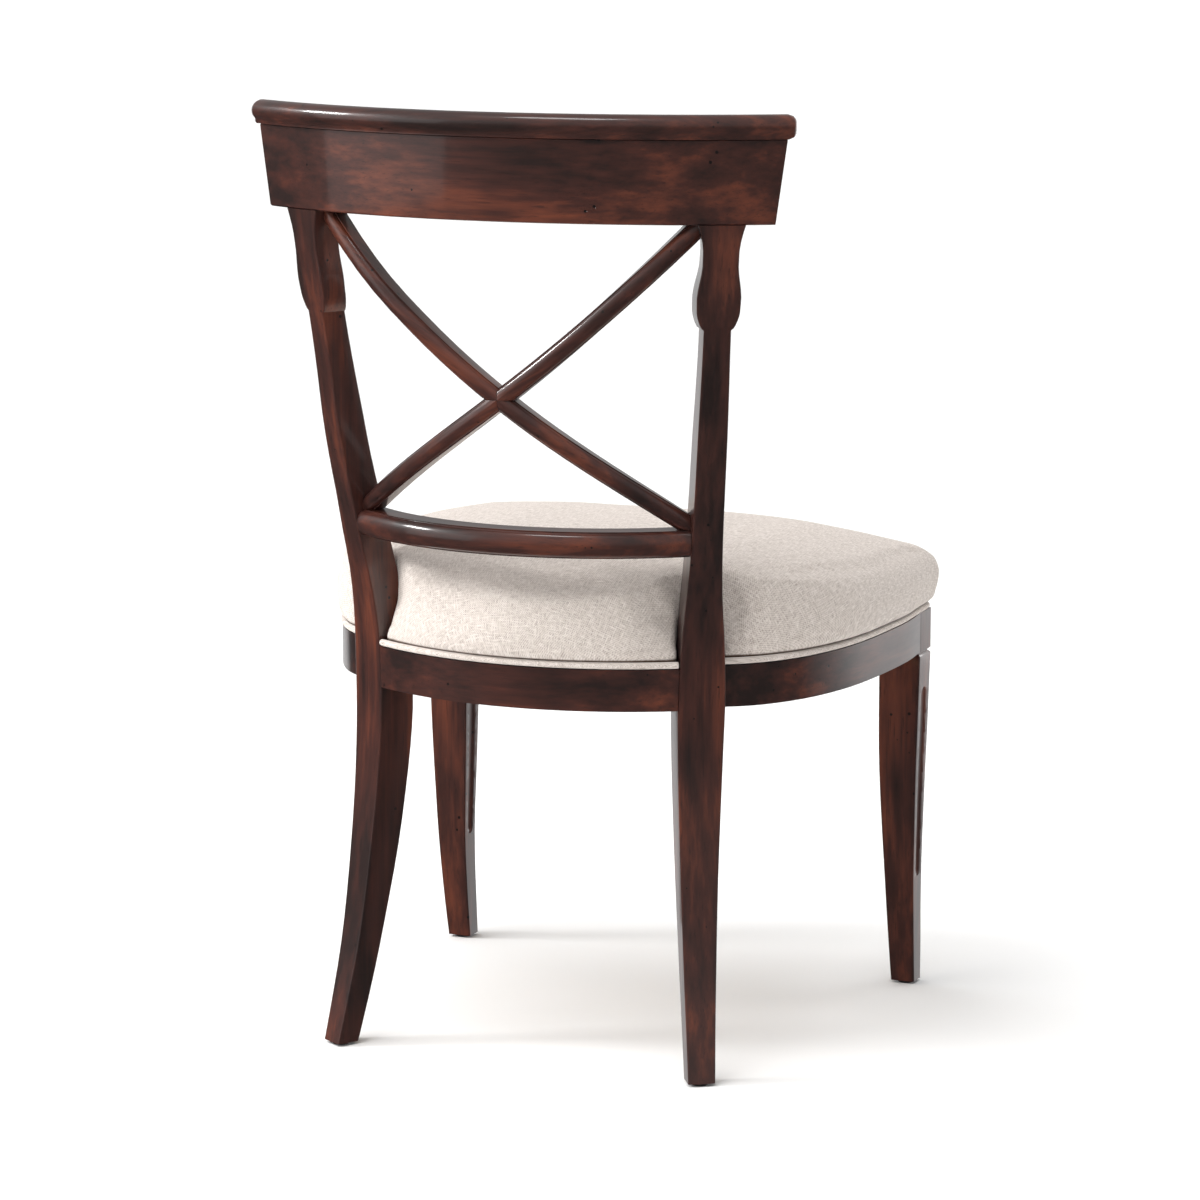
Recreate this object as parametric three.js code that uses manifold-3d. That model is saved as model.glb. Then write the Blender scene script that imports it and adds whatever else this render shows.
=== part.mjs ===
// A klismos side chair: sabre legs, a curved crest rail under a round roll,
// a crossed pair of beaded slats, and a tight upholstered seat with a welt.
// Millimetres, +Z up. The front of the chair faces -Y, the sitter's left is +X.
import * as THREE from "three";
import { mergeVertices, toCreasedNormals } from "three/addons/utils/BufferGeometryUtils.js";
import Module from "manifold-3d";

const wasm = await Module();
wasm.setup();

// Fits
const GAP = 0.3;
const OVERRUN = 5;
const SEAT_CLEARANCE = 1;
const EDGE_RADIUS = 1.6;

// Seat frame
const SEAT_TOP = 406;
const RAIL_HEIGHT = 41.5;
const RAIL_THICKNESS = 22;
const SEAT_REAR_BOW = 44.7;
const SIDE_BOW = 45;
const FRONT_RAIL_SET = 1;

// Front legs
const FRONT_LEG_OUT = 281;
const FRONT_LEG_AHEAD = 236;
const BLOCK_WIDTH = 45;
const BLOCK_DEPTH = 36.5;
const NECK_HEIGHT = 5.5;
const NECK_CUT = 3;
const FLUTE_DEPTH = 3.4;

// Rear legs, each one piece from the foot to the crest
const STILE_TURN = THREE.MathUtils.degToRad(32);
const STILE_TOP = 844.5;
const STILE_REACH = 308.8;
const STILE_MIDDLE = 66.9;
const STILE_WIDTH = 47.3;
const STILE_DEPTH = 40;

// Crest
const CREST_RADIUS = 525;
const CREST_HEIGHT = 81;
const CREST_LEAN = 4.5;
const CREST_OVERHANG = 24.2;
const CREST_SPREAD = 9;
const CREST_BOTTOM_THICKNESS = 31;
const CREST_TOP_THICKNESS = 19;
const ROLL_RADIUS = 11;
const ROLL_OVERHANG = 8;
const ROLL_SET = 3;
const FILLET_HEIGHT = 1.3;

// Back rail and crossed slats
const BACK_RAIL_CLEARANCE = 6;
const BACK_RAIL_HEIGHT = 26;
const BACK_RAIL_BOW = 63.3;
const BACK_RAIL_DEPTH = 33;
const BACK_RAIL_BEAD = 8;
const SLAT_HEIGHT = 18.5;
const SLAT_THICKNESS = 20;
const SLAT_BEAD = 6;
const SLAT_SET = 10;
const QUIRK = 1;
const SLAT_RADIUS = 380;

// Joints
const TENON_LENGTH = 15;
const TENON_THICKNESS = 9;
const TENON_SHOULDER = 7;
const CREST_TENON_WIDTH = 24;
const CREST_TENON_THICKNESS = 10;
const CREST_TENON_HEIGHT = 26;

// Seat base and upholstery
const BOARD_THICKNESS = 12;
const BRACE_HEIGHT = 27;
const BRACE_THICKNESS = 20;
const BRACE_HALF_LENGTH = 62;
const CUSHION_CROWN = 107;
const CUSHION_SHOULDER = 60.5;
const CUSHION_BULGE = 13.5;
const CUSHION_DRAW_IN = 22;
const CUSHION_LEG_DROP = 15;
const BULGE_REACH = 190;
const DRAW_IN_REACH = 45;
const WELT_RADIUS = 3.6;

// Glides
const GLIDE_RADIUS = 8;
const GLIDE_HEIGHT = 3;

// Stations of the rear leg: height, rear face, middle, width and depth.
const rearLegShares = [
  [0, 0.95, 0.803, 0.569, 0.608],
  [0.059, 0.908, 0.825, 0.617, 0.663],
  [0.118, 0.869, 0.845, 0.679, 0.693],
  [0.178, 0.84, 0.861, 0.736, 0.768],
  [0.237, 0.817, 0.876, 0.795, 0.86],
  [0.296, 0.796, 0.895, 0.865, 0.905],
  [0.355, 0.781, 0.913, 0.932, 0.955],
  [0.4, 0.774, 0.926, 0.975, 0.98],
  [0.433, 0.772, 0.936, 1, 0.96],
  [0.482, 0.775, 0.946, 0.953, 0.89],
  [0.521, 0.783, 0.948, 0.884, 0.87],
  [0.568, 0.803, 0.947, 0.753, 0.88],
  [0.616, 0.833, 0.949, 0.67, 0.885],
  [0.663, 0.858, 0.955, 0.634, 0.848],
  [0.71, 0.885, 0.957, 0.624, 0.813],
  [0.758, 0.907, 0.964, 0.615, 0.78],
  [0.805, 0.923, 0.974, 0.594, 0.71],
  [0.853, 0.942, 0.98, 0.571, 0.67],
  [0.88, 0.954, 0.981, 0.565, 0.665],
  [0.8822, 0.955, 0.981, 0.66, 0.665],
  [0.8905, 0.96, 0.982, 0.8, 0.67],
  [0.9, 0.965, 0.983, 0.888, 0.67],
  [0.918, 0.974, 0.984, 0.91, 0.69],
  [0.9355, 0.981, 0.987, 0.825, 0.71],
  [0.953, 0.987, 0.991, 0.735, 0.73],
  [0.971, 0.992, 0.995, 0.738, 0.75],
  [0.989, 0.997, 0.999, 0.841, 0.77],
  [1, 1, 1, 0.95, 0.775],
];
const TWIST_FROM_SHARE = 0.9;

// Stations of the front leg: height, side inset, width, reach ahead and depth.
const frontLegShares = [
  [0, 0.238, 0.573, 0.32, 0.614],
  [0.111, 0.204, 0.622, 0.195, 0.688],
  [0.223, 0.176, 0.669, 0.063, 0.726],
  [0.334, 0.151, 0.716, -0.022, 0.781],
  [0.446, 0.124, 0.784, -0.06, 0.825],
  [0.557, 0.098, 0.849, -0.06, 0.893],
  [0.669, 0.071, 0.907, -0.055, 0.945],
  [0.78, 0.044, 0.951, -0.027, 0.986],
  [0.891, 0.024, 0.976, -0.008, 0.997],
  [1, 0, 1, 0, 1],
];
const FLUTE_FROM_SHARE = 0.335;
const FLUTE_TO_SHARE = 0.905;
const FLUTE_WIDTH_SHARE = 0.5;

// Bow of the side rail over the chord between its two legs: along, out.
const sideBowShares = [
  [0, 0],
  [0.14, 0.38],
  [0.33, 0.72],
  [0.5, 0.945],
  [0.64, 1],
  [0.77, 0.905],
  [0.88, 0.65],
  [0.95, 0.35],
  [1, 0],
];
// The seat line meets this share of the rear leg's outer face.
const LEG_MEET_SHARE = 0.62;

// Rise of a slat from the back rail to the crest: at the crossing, then the
// straight, bowed and twice-bowed parts of its run to each end.
const slatRiseShares = [0.42, 0.4425, 0.0775, 0.045];
const SLAT_REACH_SHARE = 1.06;

// Rounded ends of the crest roll: size of each ring and how far in it lies.
const rollEndShares = [
  [0.25, 0],
  [0.6, 0.1],
  [0.85, 0.4],
  [1, 1],
];

// Cushion: each ring's height over the shoulder and its reach of the bulge.
const cushionSideShares = [
  [0.2, 0.5],
  [0.42, 0.86],
  [0.65, 1],
  [0.81, 0.88],
  [0.93, 0.56],
];
const cushionTopShares = [0.977, 0.945, 0.89, 0.79, 0.62, 0.36];
const DOME_POWER = 3.8;

const COLORS = {
  wood: 0x4a1f17,
  hidden: 0xb08a5c,
  cloth: 0xd8cfc3,
  glide: 0x2a2724,
};

// Smooth curve through rows of shares, with no overshoot between rows.
function secant(rows, row, column) {
  const rise = rows[row + 1][column] - rows[row][column];
  return rise / (rows[row + 1][0] - rows[row][0]);
}

function slopeAt(rows, row, column) {
  if (row === 0) return secant(rows, 0, column);
  if (row === rows.length - 1) return secant(rows, row - 1, column);
  const before = secant(rows, row - 1, column);
  const after = secant(rows, row, column);
  if (before * after <= 0) return 0;
  return (2 * before * after) / (before + after);
}

function along(rows, at, column) {
  let row = 0;
  while (row < rows.length - 2 && at > rows[row + 1][0]) row += 1;
  const span = rows[row + 1][0] - rows[row][0];
  const t = (at - rows[row][0]) / span;
  if (t > 1) {
    const end = rows.length - 1;
    return rows[end][column] + slopeAt(rows, end, column) * (at - rows[end][0]);
  }
  if (t < 0) return rows[0][column] + slopeAt(rows, 0, column) * (at - rows[0][0]);
  const a = rows[row][column];
  const b = rows[row + 1][column];
  const ma = slopeAt(rows, row, column) * span;
  const mb = slopeAt(rows, row + 1, column) * span;
  const t2 = t * t;
  const t3 = t2 * t;
  const start = (2 * t3 - 3 * t2 + 1) * a + (t3 - 2 * t2 + t) * ma;
  return start + (3 * t2 - 2 * t3) * b + (t3 - t2) * mb;
}

// Stations between the rows, closer together where the rows are.
function stations(rows, count) {
  const list = [];
  for (let row = 0; row < rows.length - 1; row += 1) {
    const from = rows[row][0];
    const to = rows[row + 1][0];
    for (let i = 0; i < count; i += 1) list.push(from + ((to - from) * i) / count);
  }
  list.push(rows[rows.length - 1][0]);
  return list;
}

// Closed solids
function signedVolume(points, index) {
  let sum = 0;
  const normal = new THREE.Vector3();
  for (let i = 0; i < index.length; i += 3) {
    normal.crossVectors(points[index[i + 1]], points[index[i + 2]]);
    sum += points[index[i]].dot(normal);
  }
  return sum;
}

function fromFaces(points, index) {
  const faces = signedVolume(points, index) < 0 ? index.slice().reverse() : index;
  const geometry = new THREE.BufferGeometry();
  geometry.setFromPoints(points);
  geometry.setIndex(faces);
  return toSolid(geometry);
}

function toSolid(geometry) {
  const bare = geometry.clone();
  bare.deleteAttribute("normal");
  bare.deleteAttribute("uv");
  const merged = mergeVertices(bare);
  const mesh = new wasm.Mesh({
    numProp: 3,
    vertProperties: new Float32Array(merged.attributes.position.array),
    triVerts: new Uint32Array(merged.index.array),
  });
  return new wasm.Manifold(mesh);
}

// Skin over rings of equal count, closed with a fan at each end.
function loft(rings) {
  const count = rings[0].length;
  const points = rings.flat();
  const index = [];
  for (let ring = 0; ring < rings.length - 1; ring += 1) {
    for (let i = 0; i < count; i += 1) {
      const a = ring * count + i;
      const b = ring * count + ((i + 1) % count);
      index.push(a, b, b + count, a, b + count, a + count);
    }
  }
  const last = (rings.length - 1) * count;
  for (let i = 1; i < count - 1; i += 1) {
    index.push(0, i + 1, i);
    index.push(last, last + i, last + i + 1);
  }
  return fromFaces(points, index);
}

function extruded(outline, bottom, top) {
  const shape = new THREE.Shape(outline);
  const geometry = new THREE.ExtrudeGeometry(shape, { depth: top - bottom, bevelEnabled: false });
  geometry.translate(0, 0, bottom);
  return toSolid(geometry);
}

function placedBox(width, depth, height, place) {
  const geometry = new THREE.BoxGeometry(width, depth, height);
  geometry.applyMatrix4(place);
  return toSolid(geometry);
}

// Outline of a rectangle with rounded corners, about its middle.
function roundedRect(width, depth, radius, steps) {
  const list = [];
  const r = Math.min(radius, width / 3, depth / 3);
  for (let corner = 0; corner < 4; corner += 1) {
    const sx = corner === 0 || corner === 3 ? 1 : -1;
    const sy = corner < 2 ? 1 : -1;
    for (let i = 0; i <= steps; i += 1) {
      const angle = ((corner + i / steps) * Math.PI) / 2;
      const x = sx * (width / 2 - r) + r * Math.cos(angle);
      const y = sy * (depth / 2 - r) + r * Math.sin(angle);
      list.push(new THREE.Vector2(x, y));
    }
  }
  return list;
}

// Rear leg: its own frame is turned in plan, and its top turns to the crest.
function legAxes(turn) {
  const out = new THREE.Vector2(Math.cos(turn), -Math.sin(turn));
  const back = new THREE.Vector2(Math.sin(turn), Math.cos(turn));
  return { out, back };
}

function rearFaceMiddle(z) {
  const share = z / STILE_TOP;
  const { out, back } = legAxes(STILE_TURN);
  const point = back.multiplyScalar(along(rearLegShares, share, 1) * STILE_REACH);
  return point.addScaledVector(out, along(rearLegShares, share, 2) * STILE_MIDDLE);
}

// The rear of the crest lies flush with the rear of the legs' tops.
function crestCentre() {
  const top = rearFaceMiddle(STILE_TOP);
  return top.y - Math.sqrt(CREST_RADIUS ** 2 - top.x ** 2);
}

const CREST_CENTRE = crestCentre();

function legTurn(z) {
  const from = TWIST_FROM_SHARE * STILE_TOP;
  const blend = THREE.MathUtils.smoothstep(z, from, STILE_TOP);
  const top = rearFaceMiddle(STILE_TOP);
  const flush = Math.atan2(top.x, top.y - CREST_CENTRE);
  return THREE.MathUtils.lerp(STILE_TURN, flush, blend);
}

function legWidth(z) {
  return along(rearLegShares, z / STILE_TOP, 3) * STILE_WIDTH;
}

function legDepth(z) {
  return along(rearLegShares, z / STILE_TOP, 4) * STILE_DEPTH;
}

// A point of the rear leg at height z: across its width and ahead of its rear.
function legPoint(z, across, ahead) {
  const { out, back } = legAxes(legTurn(z));
  return rearFaceMiddle(z).addScaledVector(out, across).addScaledVector(back, -ahead);
}

function rearLegRing(z, side, grow, reach) {
  const depth = legDepth(z);
  const width = legWidth(z) + 2 * grow;
  const long = depth + 2 * grow + reach.ahead + reach.behind;
  const middle = (depth + reach.ahead - reach.behind) / 2;
  return roundedRect(width, long, EDGE_RADIUS, 2).map((p) => {
    const at = legPoint(z, p.x, middle - p.y);
    return new THREE.Vector3(side * at.x, at.y, z);
  });
}

const NO_REACH = { ahead: 0, behind: 0 };

function rearLegSolid(side, grow, reach = NO_REACH) {
  const heights = stations(rearLegShares, 2).map((share) => share * STILE_TOP);
  const kept = heights.filter((z) => z > GLIDE_HEIGHT);
  const all = [GLIDE_HEIGHT - grow, ...kept.slice(0, -1), STILE_TOP + grow];
  return loft(all.map((z) => rearLegRing(z, side, grow, reach)));
}

// The stretch of the leg's width, wide open fore and aft, that trims a rail.
function trimSlab(side) {
  return rearLegSolid(side, GAP, { ahead: STILE_DEPTH, behind: STILE_DEPTH });
}

// Front leg: a square block over a cut neck and a tapered sabre leg.
const NECK_BOTTOM = SEAT_TOP - RAIL_HEIGHT - NECK_HEIGHT;

function frontLegBox(z) {
  const share = Math.min(z / NECK_BOTTOM, 1);
  const width = along(frontLegShares, share, 2) * BLOCK_WIDTH;
  const depth = along(frontLegShares, share, 4) * BLOCK_DEPTH;
  const outer = FRONT_LEG_OUT - along(frontLegShares, share, 1) * BLOCK_WIDTH;
  const front = -FRONT_LEG_AHEAD - along(frontLegShares, share, 3) * BLOCK_DEPTH;
  return { width, depth, x: outer - width / 2, y: front + depth / 2 };
}

function frontLegRing(z, side, grow) {
  const box = frontLegBox(z);
  const outline = roundedRect(box.width + 2 * grow, box.depth + 2 * grow, EDGE_RADIUS, 2);
  return outline.map((p) => new THREE.Vector3(side * (box.x + p.x), box.y + p.y, z));
}

function frontLegSolid(side, grow) {
  const heights = stations(frontLegShares, 2).map((share) => share * NECK_BOTTOM);
  const kept = heights.filter((z) => z > GLIDE_HEIGHT);
  const neck = NECK_BOTTOM + NECK_HEIGHT / 2;
  const blockBottom = NECK_BOTTOM + NECK_HEIGHT;
  const rings = [GLIDE_HEIGHT - grow, ...kept].map((z) => frontLegRing(z, side, grow));
  rings.push(frontLegRing(neck, side, grow - NECK_CUT));
  rings.push(frontLegRing(blockBottom, side, grow));
  rings.push(frontLegRing(SEAT_TOP + grow, side, grow));
  return loft(rings);
}

// Flute: a round-ended hollow that follows one face of the leg.
function fluteSection(half, depth) {
  const list = [new THREE.Vector2(half, OVERRUN), new THREE.Vector2(-half, OVERRUN)];
  const steps = 8;
  for (let i = 0; i <= steps; i += 1) {
    const t = (2 * i) / steps - 1;
    list.push(new THREE.Vector2(t * half, -depth * (1 - t * t)));
  }
  return list;
}

function fluteEnd(z, from, to, half) {
  const near = Math.min(z - from, to - z) / half;
  if (near >= 1) return 1;
  return Math.sqrt(Math.max(near * (2 - near), 0));
}

// The way each fluted face looks, in plan.
const FLUTED_FACES = [
  { x: 1, y: 0 },
  { x: -1, y: 0 },
  { x: 0, y: -1 },
];

function flutePoint(box, face, p, z, side) {
  const x = box.x + face.x * (box.width / 2 + p.y) - face.y * p.x;
  const y = box.y + face.y * (box.depth / 2 + p.y) + face.x * p.x;
  return new THREE.Vector3(side * x, y, z);
}

function fluteCutter(face, side) {
  const from = FLUTE_FROM_SHARE * NECK_BOTTOM;
  const to = FLUTE_TO_SHARE * NECK_BOTTOM;
  const roundShares = [0.02, 0.12, 0.3, 0.6, 1];
  const span = (z) => {
    const box = frontLegBox(z);
    return (face.x === 0 ? box.width : box.depth) * FLUTE_WIDTH_SHARE * 0.5;
  };
  const low = roundShares.map((s) => from + s * span(from));
  const high = roundShares.map((s) => to - s * span(to)).reverse();
  const middle = [];
  const steps = 9;
  for (let i = 1; i < steps; i += 1) {
    middle.push(low[4] + ((high[0] - low[4]) * i) / steps);
  }
  const rings = [...low, ...middle, ...high].map((z) => {
    const box = frontLegBox(z);
    const half = span(z);
    const swell = fluteEnd(z, from, to, half);
    const section = fluteSection(half * swell, FLUTE_DEPTH * swell);
    return section.map((p) => flutePoint(box, face, p, z, side));
  });
  return loft(rings);
}

function frontLeg(side) {
  let leg = frontLegSolid(side, 0);
  for (const face of FLUTED_FACES) leg = leg.subtract(fluteCutter(face, side));
  return leg;
}

// Seat line: the outer face of the rails seen from above.
function chordFrame() {
  const seat = SEAT_TOP - RAIL_HEIGHT / 2;
  const from = new THREE.Vector2(FRONT_LEG_OUT, BLOCK_DEPTH - FRONT_LEG_AHEAD);
  const to = legPoint(seat, legWidth(seat) / 2, legDepth(seat) * (1 - LEG_MEET_SHARE));
  const chord = to.clone().sub(from);
  const out = new THREE.Vector2(chord.y, -chord.x).normalize();
  return { from, to, chord, out };
}

function sideLine(steps) {
  const { from, chord, out } = chordFrame();
  const points = sideBowShares.map(([run, rise]) => {
    return from.clone().addScaledVector(chord, run).addScaledVector(out, rise * SIDE_BOW);
  });
  const curve = new THREE.SplineCurve(points);
  return curve.getPoints(steps);
}

// A plan line moved inward by an inset, with each end run on inside its leg.
function insetLine(line, inset, before, after) {
  const list = line.map((p, i) => {
    const a = line[Math.max(i - 1, 0)];
    const b = line[Math.min(i + 1, line.length - 1)];
    const run = b.clone().sub(a).normalize();
    return p.clone().add(new THREE.Vector2(-run.y, run.x).multiplyScalar(inset));
  });
  const first = list[0].clone().sub(list[1]).normalize();
  const end = list[list.length - 1];
  const last = end.clone().sub(list[list.length - 2]).normalize();
  list.unshift(list[0].clone().addScaledVector(first, before));
  list.push(end.clone().addScaledVector(last, after));
  return list;
}

function arcThrough(x, y, middle) {
  const rise = middle - y;
  const radius = (x * x + rise * rise) / (2 * rise);
  return { radius, centre: middle - radius, half: Math.asin(x / radius) };
}

function rearArc() {
  const seat = SEAT_TOP - RAIL_HEIGHT / 2;
  const corner = legPoint(seat, -legWidth(seat) / 2, 0);
  return arcThrough(corner.x, corner.y, corner.y + SEAT_REAR_BOW);
}

const SEAT_REAR = rearArc().centre + rearArc().radius;

function rearLine(steps, inset, extra) {
  const arc = rearArc();
  const radius = arc.radius - inset;
  const half = arc.half + extra / arc.radius;
  const list = [];
  for (let i = 0; i <= steps; i += 1) {
    const angle = half - (2 * half * i) / steps;
    list.push(new THREE.Vector2(radius * Math.sin(angle), arc.centre + radius * Math.cos(angle)));
  }
  return list;
}

function mirrored(line) {
  return line.map((p) => new THREE.Vector2(-p.x, p.y)).reverse();
}

// Everything inside the rails, trimmed by a clearance.
function insideOutline(inset) {
  const side = insetLine(sideLine(24), inset, 0, RAIL_THICKNESS / 2);
  const front = new THREE.Vector2(side[0].x, FRONT_RAIL_SET + inset - FRONT_LEG_AHEAD);
  const left = [front, ...side];
  return [...left, ...rearLine(16, inset, 0), ...mirrored(left)];
}

// Seat rails
const RAIL_BOTTOM = SEAT_TOP - RAIL_HEIGHT;

function extrudedBoth(outline, side, bottom, top) {
  const placed = side > 0 ? outline : mirrored(outline);
  return extruded(placed, bottom, top);
}

function sideRailBody(side) {
  const into = BLOCK_DEPTH / 2;
  const outer = insetLine(sideLine(24), 0, into, RAIL_THICKNESS);
  const inner = insetLine(sideLine(24), RAIL_THICKNESS, into, RAIL_THICKNESS);
  const outline = [...outer, ...inner.reverse()];
  return extrudedBoth(outline, side, RAIL_BOTTOM, SEAT_TOP);
}

function rearRailBody() {
  const extra = RAIL_THICKNESS;
  const outline = [...rearLine(20, 0, extra), ...rearLine(20, RAIL_THICKNESS, extra).reverse()];
  return extruded(outline, RAIL_BOTTOM, SEAT_TOP);
}

function frontRailBody() {
  const front = FRONT_RAIL_SET - FRONT_LEG_AHEAD;
  const half = FRONT_LEG_OUT - BLOCK_WIDTH / 2;
  const outline = [
    new THREE.Vector2(-half, front),
    new THREE.Vector2(half, front),
    new THREE.Vector2(half, front + RAIL_THICKNESS),
    new THREE.Vector2(-half, front + RAIL_THICKNESS),
  ];
  return extruded(outline, RAIL_BOTTOM, SEAT_TOP);
}

// Tenon: a flat tongue from a point at the shoulder, along a plan direction.
function tenon(at, direction, z, height, thickness, grow) {
  const length = TENON_LENGTH + RAIL_THICKNESS / 2 + grow;
  const turn = Math.atan2(direction.y, direction.x);
  const middle = (TENON_LENGTH + grow - RAIL_THICKNESS / 2) / 2;
  const place = new THREE.Matrix4().makeRotationZ(turn);
  const x = at.x + middle * Math.cos(turn);
  const y = at.y + middle * Math.sin(turn);
  place.setPosition(x, y, z);
  return placedBox(length, thickness + 2 * grow, height + 2 * grow, place);
}

const RAIL_TENON_HEIGHT = RAIL_HEIGHT - 2 * TENON_SHOULDER;
const RAIL_TENON_Z = SEAT_TOP - RAIL_HEIGHT / 2;

function sideTenons(side, grow) {
  const line = insetLine(sideLine(24), RAIL_THICKNESS / 2, 0, 0);
  const front = line[0];
  const end = line[line.length - 1];
  const prior = line[line.length - 3];
  const run = end.clone().sub(prior).normalize();
  const flip = (p) => new THREE.Vector2(side * p.x, p.y);
  const height = RAIL_TENON_HEIGHT;
  const ahead = new THREE.Vector2(0, -1);
  return [
    tenon(flip(front), ahead, RAIL_TENON_Z, height, TENON_THICKNESS, grow),
    tenon(flip(end), flip(run), RAIL_TENON_Z, height, TENON_THICKNESS, grow),
  ];
}

function rearTenon(side, grow) {
  const arc = rearArc();
  const radius = arc.radius - RAIL_THICKNESS / 2;
  const at = new THREE.Vector2(radius * Math.sin(arc.half), arc.centre + radius * Math.cos(arc.half));
  const run = new THREE.Vector2(Math.cos(arc.half), -Math.sin(arc.half));
  at.x *= side;
  run.x *= side;
  return tenon(at, run, RAIL_TENON_Z, RAIL_TENON_HEIGHT - TENON_THICKNESS, TENON_THICKNESS, grow);
}

function frontTenon(side, grow) {
  const x = side * (FRONT_LEG_OUT - BLOCK_WIDTH);
  const y = FRONT_RAIL_SET - FRONT_LEG_AHEAD + RAIL_THICKNESS / 2;
  const run = new THREE.Vector2(side, 0);
  const at = new THREE.Vector2(x, y);
  return tenon(at, run, RAIL_TENON_Z, RAIL_TENON_HEIGHT, TENON_THICKNESS, grow);
}

// Lower back rail: a curved bar with a half-round back.
const BACK_RAIL_TOP = SEAT_TOP + CUSHION_CROWN + BACK_RAIL_CLEARANCE + BACK_RAIL_HEIGHT;
const BACK_RAIL_Z = BACK_RAIL_TOP - BACK_RAIL_HEIGHT / 2;

function backRailArc() {
  const corner = legPoint(BACK_RAIL_Z, -legWidth(BACK_RAIL_Z) / 2, 0);
  return arcThrough(corner.x, corner.y, corner.y + BACK_RAIL_BOW);
}

// Section with a flat front and, behind a small step, a bead: x is depth, y is height.
function beadSection(height, thickness, bead, grow) {
  const half = height / 2 + grow;
  const front = thickness + grow;
  const ease = EDGE_RADIUS;
  const list = [
    new THREE.Vector2(-front, -half + ease),
    new THREE.Vector2(-front, half - ease),
    new THREE.Vector2(-front + ease, half),
    new THREE.Vector2(grow - bead, half),
  ];
  const steps = 8;
  for (let i = 0; i <= steps; i += 1) {
    const angle = Math.PI / 2 - (Math.PI * i) / steps;
    const x = -bead + (bead + grow) * Math.cos(angle);
    list.push(new THREE.Vector2(x, (half - QUIRK) * Math.sin(angle)));
  }
  list.push(new THREE.Vector2(grow - bead, -half), new THREE.Vector2(-front + ease, -half));
  return list;
}

function backRailBody(grow) {
  const arc = backRailArc();
  const section = beadSection(BACK_RAIL_HEIGHT, BACK_RAIL_DEPTH, BACK_RAIL_BEAD, grow);
  const half = arc.half + STILE_WIDTH / 3 / arc.radius;
  const steps = 20;
  const rings = [];
  for (let i = 0; i <= steps; i += 1) {
    const angle = half * ((2 * i) / steps - 1);
    rings.push(section.map((p) => {
      const r = arc.radius + p.x;
      return new THREE.Vector3(r * Math.sin(angle), arc.centre + r * Math.cos(angle), BACK_RAIL_Z + p.y);
    }));
  }
  return loft(rings);
}

function backRailTenon(side, grow) {
  const arc = backRailArc();
  const radius = arc.radius - BACK_RAIL_DEPTH / 2;
  const at = new THREE.Vector2(radius * Math.sin(arc.half), arc.centre + radius * Math.cos(arc.half));
  const run = new THREE.Vector2(Math.cos(arc.half), -Math.sin(arc.half));
  at.x *= side;
  run.x *= side;
  const height = BACK_RAIL_HEIGHT - TENON_SHOULDER;
  return tenon(at, run, BACK_RAIL_Z, height, TENON_THICKNESS, grow);
}

// Crossed slats: they lie in the curve of the back, set in from its rear.
function slatPath(u, side) {
  const [crossing, straight, bow, sway] = slatRiseShares;
  const rise = crossing + straight * u + bow * u ** 2 + sway * u ** 3;
  const height = BACK_RAIL_TOP + rise * (STILE_TOP - BACK_RAIL_TOP);
  const z = Math.min(height, STILE_TOP);
  const width = THREE.MathUtils.lerp(legWidth(BACK_RAIL_TOP), legWidth(STILE_TOP), rise);
  const edge = legPoint(z, -width / 2, SLAT_SET);
  const x = edge.x * u;
  const sweep = Math.sqrt(SLAT_RADIUS ** 2 - x * x) - Math.sqrt(SLAT_RADIUS ** 2 - edge.x ** 2);
  return new THREE.Vector3(side * x, edge.y + sweep, height);
}

function slatRing(u, side, section, step) {
  const at = slatPath(u, side);
  const run = slatPath(u + step, side).sub(slatPath(u - step, side)).normalize();
  const across = at.x / SLAT_RADIUS;
  const back = new THREE.Vector3(across, Math.sqrt(1 - across * across), 0);
  back.addScaledVector(run, -back.dot(run)).normalize();
  const up = new THREE.Vector3().crossVectors(run, back).multiplyScalar(side);
  return section.map((p) => at.clone().addScaledVector(back, p.x).addScaledVector(up, p.y));
}

function slatBody(side, grow) {
  const section = beadSection(SLAT_HEIGHT, SLAT_THICKNESS, SLAT_BEAD, grow);
  const steps = 22;
  const rings = [];
  for (let i = 0; i <= steps; i += 1) {
    const u = SLAT_REACH_SHARE * ((2 * i) / steps - 1);
    rings.push(slatRing(u, side, section, 1 / steps));
  }
  return loft(rings);
}

// The crossing: halved through the slat, with the beads mitred into each other.
function crossingLayer(from, to, width, height, x, z) {
  const middle = slatPath(0, 1);
  const above = legPoint(middle.z + SLAT_HEIGHT, 0, 0);
  const below = legPoint(middle.z - SLAT_HEIGHT, 0, 0);
  const lean = Math.atan2(above.y - below.y, 2 * SLAT_HEIGHT);
  const place = new THREE.Matrix4().makeTranslation(middle.x, middle.y, middle.z);
  place.multiply(new THREE.Matrix4().makeRotationX(-lean));
  place.multiply(new THREE.Matrix4().makeTranslation(x, -(from + to) / 2, z));
  return placedBox(width, to - from, height, place);
}

function mitreCutter(side) {
  const size = 2 * SLAT_HEIGHT;
  const low = SLAT_BEAD + GAP / 2;
  const shift = size / 2 - GAP / 2;
  const first = crossingLayer(-OVERRUN, low, size, size, -side * shift, shift);
  const second = crossingLayer(-OVERRUN, low, size, size, side * shift, -shift);
  return first.add(second);
}

function halvingCutter(side) {
  const middle = (SLAT_BEAD + SLAT_THICKNESS) / 2;
  const size = 3 * SLAT_HEIGHT;
  if (side > 0) return crossingLayer(SLAT_BEAD - GAP / 2, middle + GAP / 2, size, size, 0, 0);
  return crossingLayer(middle - GAP / 2, SLAT_THICKNESS + OVERRUN, size, size, 0, 0);
}

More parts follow.
